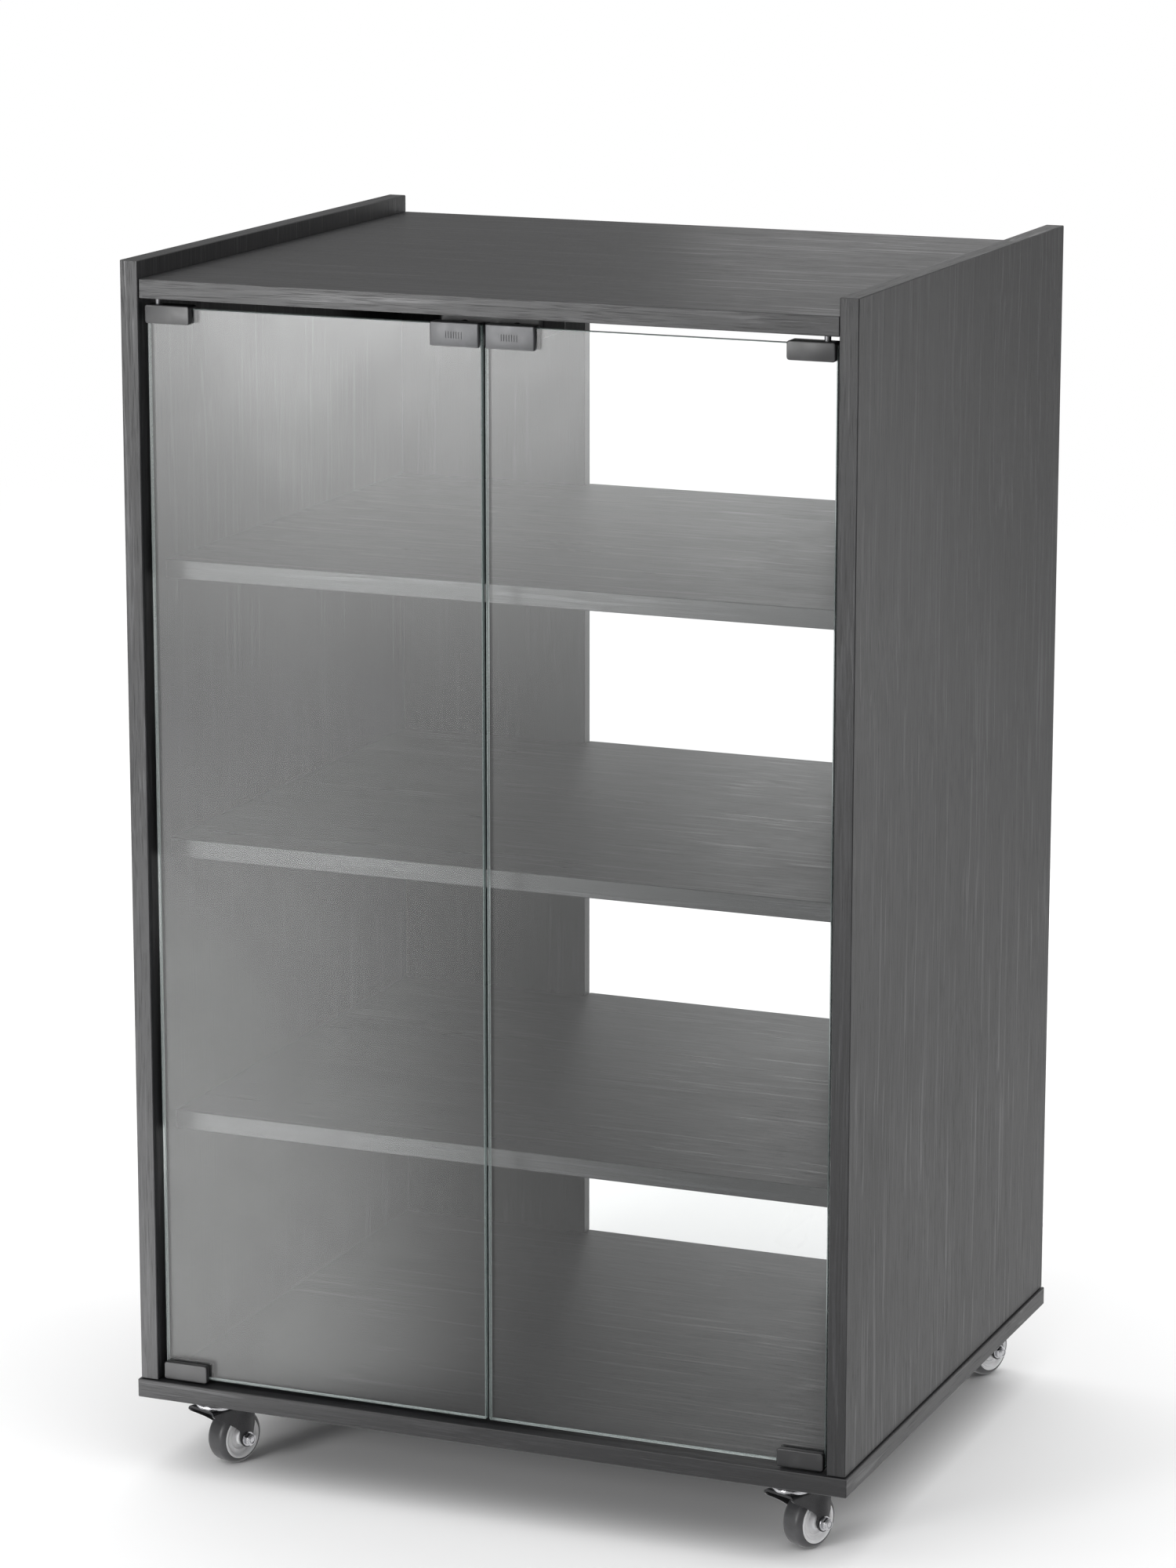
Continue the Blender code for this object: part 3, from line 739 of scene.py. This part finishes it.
def fork_mesh(center, top):
    """A fork pressed from one sheet: crown, two bends and two legs with round ends."""
    half = fork_path(center, top)
    middle = [(0.0, top, (FORK_FRONT, FORK_BACK))]
    path = half + middle + [(-v, z, span) for v, z, span in reversed(half)]
    bm = bmesh.new()
    columns = 16
    rows = []
    for v, z, (front, back) in path:
        row = []
        swell = LEG_SWELL * unit((top - 6.0 * MM - z) / (8.0 * MM))
        for i in range(columns + 1):
            u = front + (back - front) * i / columns
            off = min(1.0, abs(u - center[0]) / (LEG_END + 1.0 * MM))
            bulge = swell * (1.0 - off * off) if abs(v) > 0.99 * FORK_HALF else 0.0
            row.append(bm.verts.new((v + math.copysign(bulge, v), u, z)))
        rows.append(row)
    for first, second in zip(rows, rows[1:]):
        for i in range(columns):
            bm.faces.new((first[i], first[i + 1], second[i + 1], second[i]))
    bmesh.ops.remove_doubles(bm, verts=bm.verts, dist=0.02 * MM)
    bmesh.ops.recalc_face_normals(bm, faces=bm.faces)
    crown = max(bm.faces, key=lambda face: face.calc_center_median().z)
    if crown.normal.z < 0:
        bmesh.ops.reverse_faces(bm, faces=bm.faces)
    mesh = bpy.data.meshes.new("fork_sheet")
    bm.to_mesh(mesh)
    bm.free()
    return mesh


def hexagon(low, high):
    """A hexagon head or nut, 9.2 mm across its flats, with rounded edges."""
    return shaped(prism(disc_points(9.2 * MM / math.sqrt(3), 6), low, high), "hexagon", 0.5 * MM, 2)


def axle_mesh(reach):
    """The axle bolt: head and washer at one end, washer and lock nut at the other."""

    def turned(profile, segments=32):
        """A body turned about the axle and closed on it at both ends."""
        return lathe([(0.0, profile[0][1]), *profile, (0.0, profile[-1][1])], segments)

    def outwards(*points):
        """Points in millimetres whose heights count from the outside of the fork's leg."""
        return [(radius, reach + height) for radius, height in mm(*points)]

    return join([
        hexagon(-reach - 3.4 * MM, -reach - 0.5 * MM),
        turned(mirrored(outwards((5.9, 0.0), (5.8, 0.6)))),
        turned([(2.95 * MM, -reach), (2.95 * MM, reach)], 24),
        hexagon(reach + 0.5 * MM, reach + 4.0 * MM),
        turned(outwards((5.9, 0.0), (5.8, 0.6))),
        turned(outwards((4.1, 3.8), (4.0, 4.7), (3.0, 5.1), (2.9, 4.4), (2.3, 4.4), (2.0, 4.9))),
    ])


def pan_screw():
    """A pan-head screw whose flange sits at z = 0."""
    profile = mm((0.0, 0.0), (3.9, 0.0), (4.0, 0.4), (3.6, 1.3), (2.6, 1.9), (1.2, 2.15), (0.0, 2.2))
    cuts = cross_recess(1.5 * MM, 3.6 * MM, 0.8 * MM)
    for cut in cuts:
        cut.transform(Matrix.Translation((0, 0, 2.2 * MM)))
    return shaped(lathe(profile, 28), "pan_screw", cuts=cuts)


def plate_screw_places(low, high):
    """Which corner, as two signs, and the place of each of the top plate's four screws."""
    x0, y0 = (low.x + high.x) / 2, (low.y + high.y) / 2
    inset_x, inset_y = PLATE_SCREW_INSET
    half_x, half_y = (high.x - low.x) / 2 - inset_x, (high.y - low.y) / 2 - inset_y
    return [(sx, sy, x0 + sx * half_x, y0 + sy * half_y) for sx, sy in CORNERS]


def plate_mesh(low, high, under, crown):
    """The top plate with slotted screw holes and the pressed dome of its upper race."""
    outline = rounded_outline((low.x, low.y), (high.x, high.y), 4 * MM)
    cuts = []
    for _, _, x, y in plate_screw_places(low, high):
        corners = (x - 3.4 * MM, y - 2.2 * MM), (x + 3.4 * MM, y + 2.2 * MM)
        slot = rounded_outline(*corners, 2.15 * MM)
        cuts.append(prism(slot, under - 2 * MM, high.z + 2 * MM))
    sheet = shaped(prism(outline, under, high.z), "plate", 0.6 * MM, 3, cuts)
    rim = under + 0.4 * MM
    dome = [(0.0, rim), (18.2 * MM, rim), (17.6 * MM, under - 0.3 * MM)]
    dome += [(16.6 * MM, under - 1.0 * MM), (15.6 * MM, crown + 0.5 * MM), (15.2 * MM, crown)]
    turned = lathe(dome + [(0.0, crown)], 64)
    turned.transform(Matrix.Translation(((low.x + high.x) / 2, (low.y + high.y) / 2, 0.0)))
    return join([sheet, turned])


def king_pin_mesh(center, low, high):
    """The king pin's peened head under the fork crown."""
    profile = [(0.0, low), (3.0 * MM, low + 0.1 * MM), (5.2 * MM, low + 0.8 * MM)]
    profile += [(6.4 * MM, low + 1.8 * MM), (6.8 * MM, high - 0.4 * MM), (6.8 * MM, high), (0.0, high)]
    bm = lathe(profile, 32)
    bm.transform(Matrix.Translation((*center, 0.0)))
    return bm


def race_mesh(low, high, outer):
    """The lower race: a pressed cup with a rolled lip, open towards the balls."""
    profile = [(0.0, low), (outer - 0.3 * MM, low), (outer, low + 0.5 * MM), (outer, high - 1.9 * MM)]
    profile += [(outer - 0.5 * MM, high - 1.2 * MM), (outer - 1.4 * MM, high - 0.5 * MM)]
    profile += [(outer - 2.3 * MM, high), (outer - 3.0 * MM, high), (0.0, high - 0.1 * MM)]
    return lathe(profile, 64)


def add_castor(tag, looks):
    place, wheel = castor_frame(tag)
    fork_body, wheel_body = "fork_" + tag, "wheel_" + tag
    prefix = f"castor_{tag}_"
    zinc, black = looks["zinc"], looks["castor_black"]
    fork_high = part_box(prefix + "fork")[1]
    plate_low, plate_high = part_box(prefix + "plate")
    axle = place.inverted() @ Vector(JOINTS[prefix + "roll"]["pos_m"])
    crown = fork_high.z - CROWN_DROP
    shell = sheet_metal(fork_mesh((axle.y, axle.z), crown), prefix + "sheet", FORK_SHEET, 0.45 * MM)
    race = race_mesh(crown - 0.6 * MM, fork_high.z, 16.0 * MM)
    piece(prefix + "fork_pressing", shell, black, fork_body,
          (prefix + "fork",), place, 40)
    piece(prefix + "lower_race", race, zinc, fork_body, (), place, 40)
    piece(prefix + "axle_bolt", axle_mesh(FORK_HALF + LEG_SWELL), zinc, fork_body,
          (prefix + "axle",), wheel)
    piece(prefix + "tread", tyre_mesh(), looks["tyre"], wheel_body,
          (prefix + "tyre",), wheel, 50)
    piece(prefix + "wheel_hub", hub_mesh(), looks["hub"], wheel_body,
          (prefix + "hub",), wheel, 50)
    piece(prefix + "sleeves", bearing_sleeves(), zinc, wheel_body, (), wheel)
    under = plate_high.z - PLATE_SHEET
    plate = plate_mesh(plate_low, plate_high, under, fork_high.z + 0.3 * MM)
    piece(prefix + "top_plate", plate, black, "cabinet", (prefix + "plate",))
    center = ((plate_low.x + plate_high.x) / 2, (plate_low.y + plate_high.y) / 2)
    pin = king_pin_mesh(center, plate_low.z, crown - 2.3 * MM)
    piece(prefix + "king_pin", pin, zinc, "cabinet")
    places = []
    for sx, sy, x, y in plate_screw_places(plate_low, plate_high):
        turn = Matrix.Rotation(0.7 * sx + 1.9 * sy, 4, "Z")
        places.append(Matrix.Translation((x, y, under)) @ HALF_TURN_X @ turn)
    piece(prefix + "plate_screws", spread(pan_screw(), places), zinc, "cabinet")


# ---------------------------------------------------------------- stage
def add_stage():
    """A plain pale paper floor that fades into the backdrop some way from the cabinet."""
    shader = Shader("stage_paper")
    shader.set(
        Base_Color=shader.mix_color(shader.speckle(1.5, 3.0), (0.90, 0.90, 0.902), (0.92, 0.92, 0.921)),
        Roughness=0.8,
        Specular_IOR_Level=0.1,
    )
    glow = shader.node("ShaderNodeEmission", {"Color": WHITE, "Strength": FLOOR_MIRRORED})
    mirrored_ray = shader.node("ShaderNodeLightPath").outputs["Is Glossy Ray"]
    lit = shader.mix_shader(mirrored_ray, shader.main.outputs[0], glow.outputs[0])
    gone = shader.ramp(shader.vector("LENGTH", shader.position), *FLOOR_FADE)
    open_air = shader.node("ShaderNodeBsdfTransparent")
    look = shader.finish(shader.mix_shader(gone, lit, open_air.outputs[0]))
    look.cycles.emission_sampling = "NONE"
    mesh = mesh_from(lathe([(0.0, 0.0), (FLOOR_FADE[1], 0.0)], 96), "studio_floor")
    mesh.materials.append(look)
    floor = linked("studio_floor", mesh)
    floor.location = (*FLOOR_CENTER, -0.2 * MM)


def add_world():
    """Bright overhead and dim at the horizon, as under a big ceiling softbox in a dark room.

    Rays that show the room itself, straight or through the glass, see a plain pale backdrop.
    """
    world = bpy.data.worlds.new("studio")
    bpy.context.scene.world = world
    world.use_nodes = True
    tree = world.node_tree
    light = tree.nodes["Background"]
    light.inputs["Color"].default_value = WHITE
    way = tree.nodes.new("ShaderNodeTexCoord")
    split = tree.nodes.new("ShaderNodeSeparateXYZ")
    tree.links.new(way.outputs["Generated"], split.inputs[0])
    rise = tree.nodes.new("ShaderNodeMapRange")
    rise.interpolation_type = "SMOOTHSTEP"
    tree.links.new(split.outputs[Z], rise.inputs["Value"])
    for key, value in zip(("From Min", "From Max"), SKY_HEIGHTS):
        rise.inputs[key].default_value = value
    rise.inputs["To Min"].default_value = SKY_HORIZON
    rise.inputs["To Max"].default_value = SKY_ZENITH
    tree.links.new(rise.outputs["Result"], light.inputs["Strength"])
    backdrop = tree.nodes.new("ShaderNodeBackground")
    backdrop.inputs["Color"].default_value = WHITE
    backdrop.inputs["Strength"].default_value = BACKDROP
    rays = tree.nodes.new("ShaderNodeLightPath")
    shown = tree.nodes.new("ShaderNodeMath")
    shown.operation = "MAXIMUM"
    tree.links.new(rays.outputs["Is Camera Ray"], shown.inputs[0])
    tree.links.new(rays.outputs["Is Transmission Ray"], shown.inputs[1])
    mix = tree.nodes.new("ShaderNodeMixShader")
    tree.links.new(shown.outputs[0], mix.inputs[0])
    tree.links.new(light.outputs[0], mix.inputs[1])
    tree.links.new(backdrop.outputs[0], mix.inputs[2])
    tree.links.new(mix.outputs[0], tree.nodes["World Output"].inputs["Surface"])


def fade_light(tree, fade, rest):
    """Dims a softbox over a share of its width and height towards its edges, to rest there."""
    place = tree.nodes.new("ShaderNodeNewGeometry")
    split = tree.nodes.new("ShaderNodeSeparateXYZ")
    tree.links.new(place.outputs["Parametric"], split.inputs[0])
    both = tree.nodes.new("ShaderNodeMath")
    both.operation = "MULTIPLY"
    for axis in (X, Y):
        inset = tree.nodes.new("ShaderNodeMath")
        inset.operation = "PINGPONG"
        inset.inputs[1].default_value = 0.5
        tree.links.new(split.outputs[axis], inset.inputs[0])
        dim = tree.nodes.new("ShaderNodeMapRange")
        dim.interpolation_type = "SMOOTHERSTEP"
        dim.inputs["From Max"].default_value = fade[axis]
        dim.inputs["To Min"].default_value = rest[axis]
        tree.links.new(inset.outputs[0], dim.inputs["Value"])
        tree.links.new(dim.outputs["Result"], both.inputs[axis])
    tree.links.new(both.outputs[0], tree.nodes["Emission"].inputs["Strength"])


def add_softbox(name, location, target, size, radiance, fade=None, rest=(0.0, 0.0)):
    """A rectangular softbox that no camera ray sees; with no target it lies and faces up."""
    data = bpy.data.lights.new(name, "AREA")
    data.shape = "RECTANGLE"
    data.size, data.size_y = size
    data.energy = radiance * math.pi * size[0] * size[1]
    if fade:
        data.use_nodes = True
        fade_light(data.node_tree, fade, rest)
    obj = linked(name, data)
    obj.location = location
    if target:
        obj.rotation_euler = (Vector(target) - Vector(location)).to_track_quat("-Z", "Y").to_euler()
    else:
        obj.rotation_euler = (math.pi, 0.0, LOW_BOX_YAW)
    obj.visible_camera = False
    obj.visible_transmission = False


def add_camera():
    """At the photograph's angle: to the right of the front, looking a little down."""
    data = bpy.data.cameras.new("camera")
    data.sensor_fit = "AUTO"
    data.sensor_width = 36.0
    data.lens = CAMERA_LENS
    data.clip_end = 200.0
    obj = linked("camera", data)
    obj.location = CAMERA_PLACE
    yaw = Matrix.Rotation(math.radians(CAMERA_YAW), 4, "Z")
    pitch = Matrix.Rotation(math.pi / 2 - math.radians(CAMERA_PITCH), 4, "X")
    roll = Matrix.Rotation(math.radians(CAMERA_ROLL), 4, "Z")
    obj.rotation_euler = (yaw @ pitch @ roll).to_euler()
    bpy.context.scene.camera = obj


def main():
    view = bpy.context.scene.view_settings
    view.view_transform = "Standard"
    view.look = "None"
    for board, grain in BOARDS.items():
        wear(board, ash_laminate(*grain))
    zinc = bright_steel("zinc_steel")
    add_fittings(zinc)
    glass = door_glass("door_glass_clear")
    pin = bright_steel("pin_steel", (0.30, 0.30, 0.31), 0.42)
    nylon = moulded_plastic("nylon_black", (0.022, 0.022, 0.023), 0.5)
    latch = moulded_plastic("latch_black", (0.02, 0.02, 0.021), 0.45)
    wear("latch_body", latch)
    for side in SIDES:
        wear("door_glass_" + side, glass)
        wear("latch_plunger_" + side, latch)
        for level in LEVELS:
            wear(f"hinge_pin_{side}_{level}", pin)
            wear(f"pivot_bush_{side}_{level}", nylon)
    add_clamps(painted_metal("clamp_black", (0.017, 0.017, 0.018), 0.36), zinc)
    add_strikes(painted_metal("strike_grey", (0.055, 0.056, 0.059), 0.36, 0.3))
    looks = {
        "castor_black": painted_metal("castor_plating", (0.026, 0.026, 0.028), 0.3, 0.5),
        "zinc": zinc,
        "tyre": moulded_plastic("tyre_rubber", (0.055, 0.055, 0.058), 0.42, 1400.0, 0.00004, 0.18),
        "hub": moulded_plastic("hub_white", (0.84, 0.84, 0.85), 0.18, 1500.0, 0.00001, 0.03, 0.1),
    }
    for tag in CASTORS:
        add_castor(tag, looks)
    add_stage()
    add_world()
    for name, values in SOFTBOXES.items():
        add_softbox(name, *values)
    add_camera()


main()
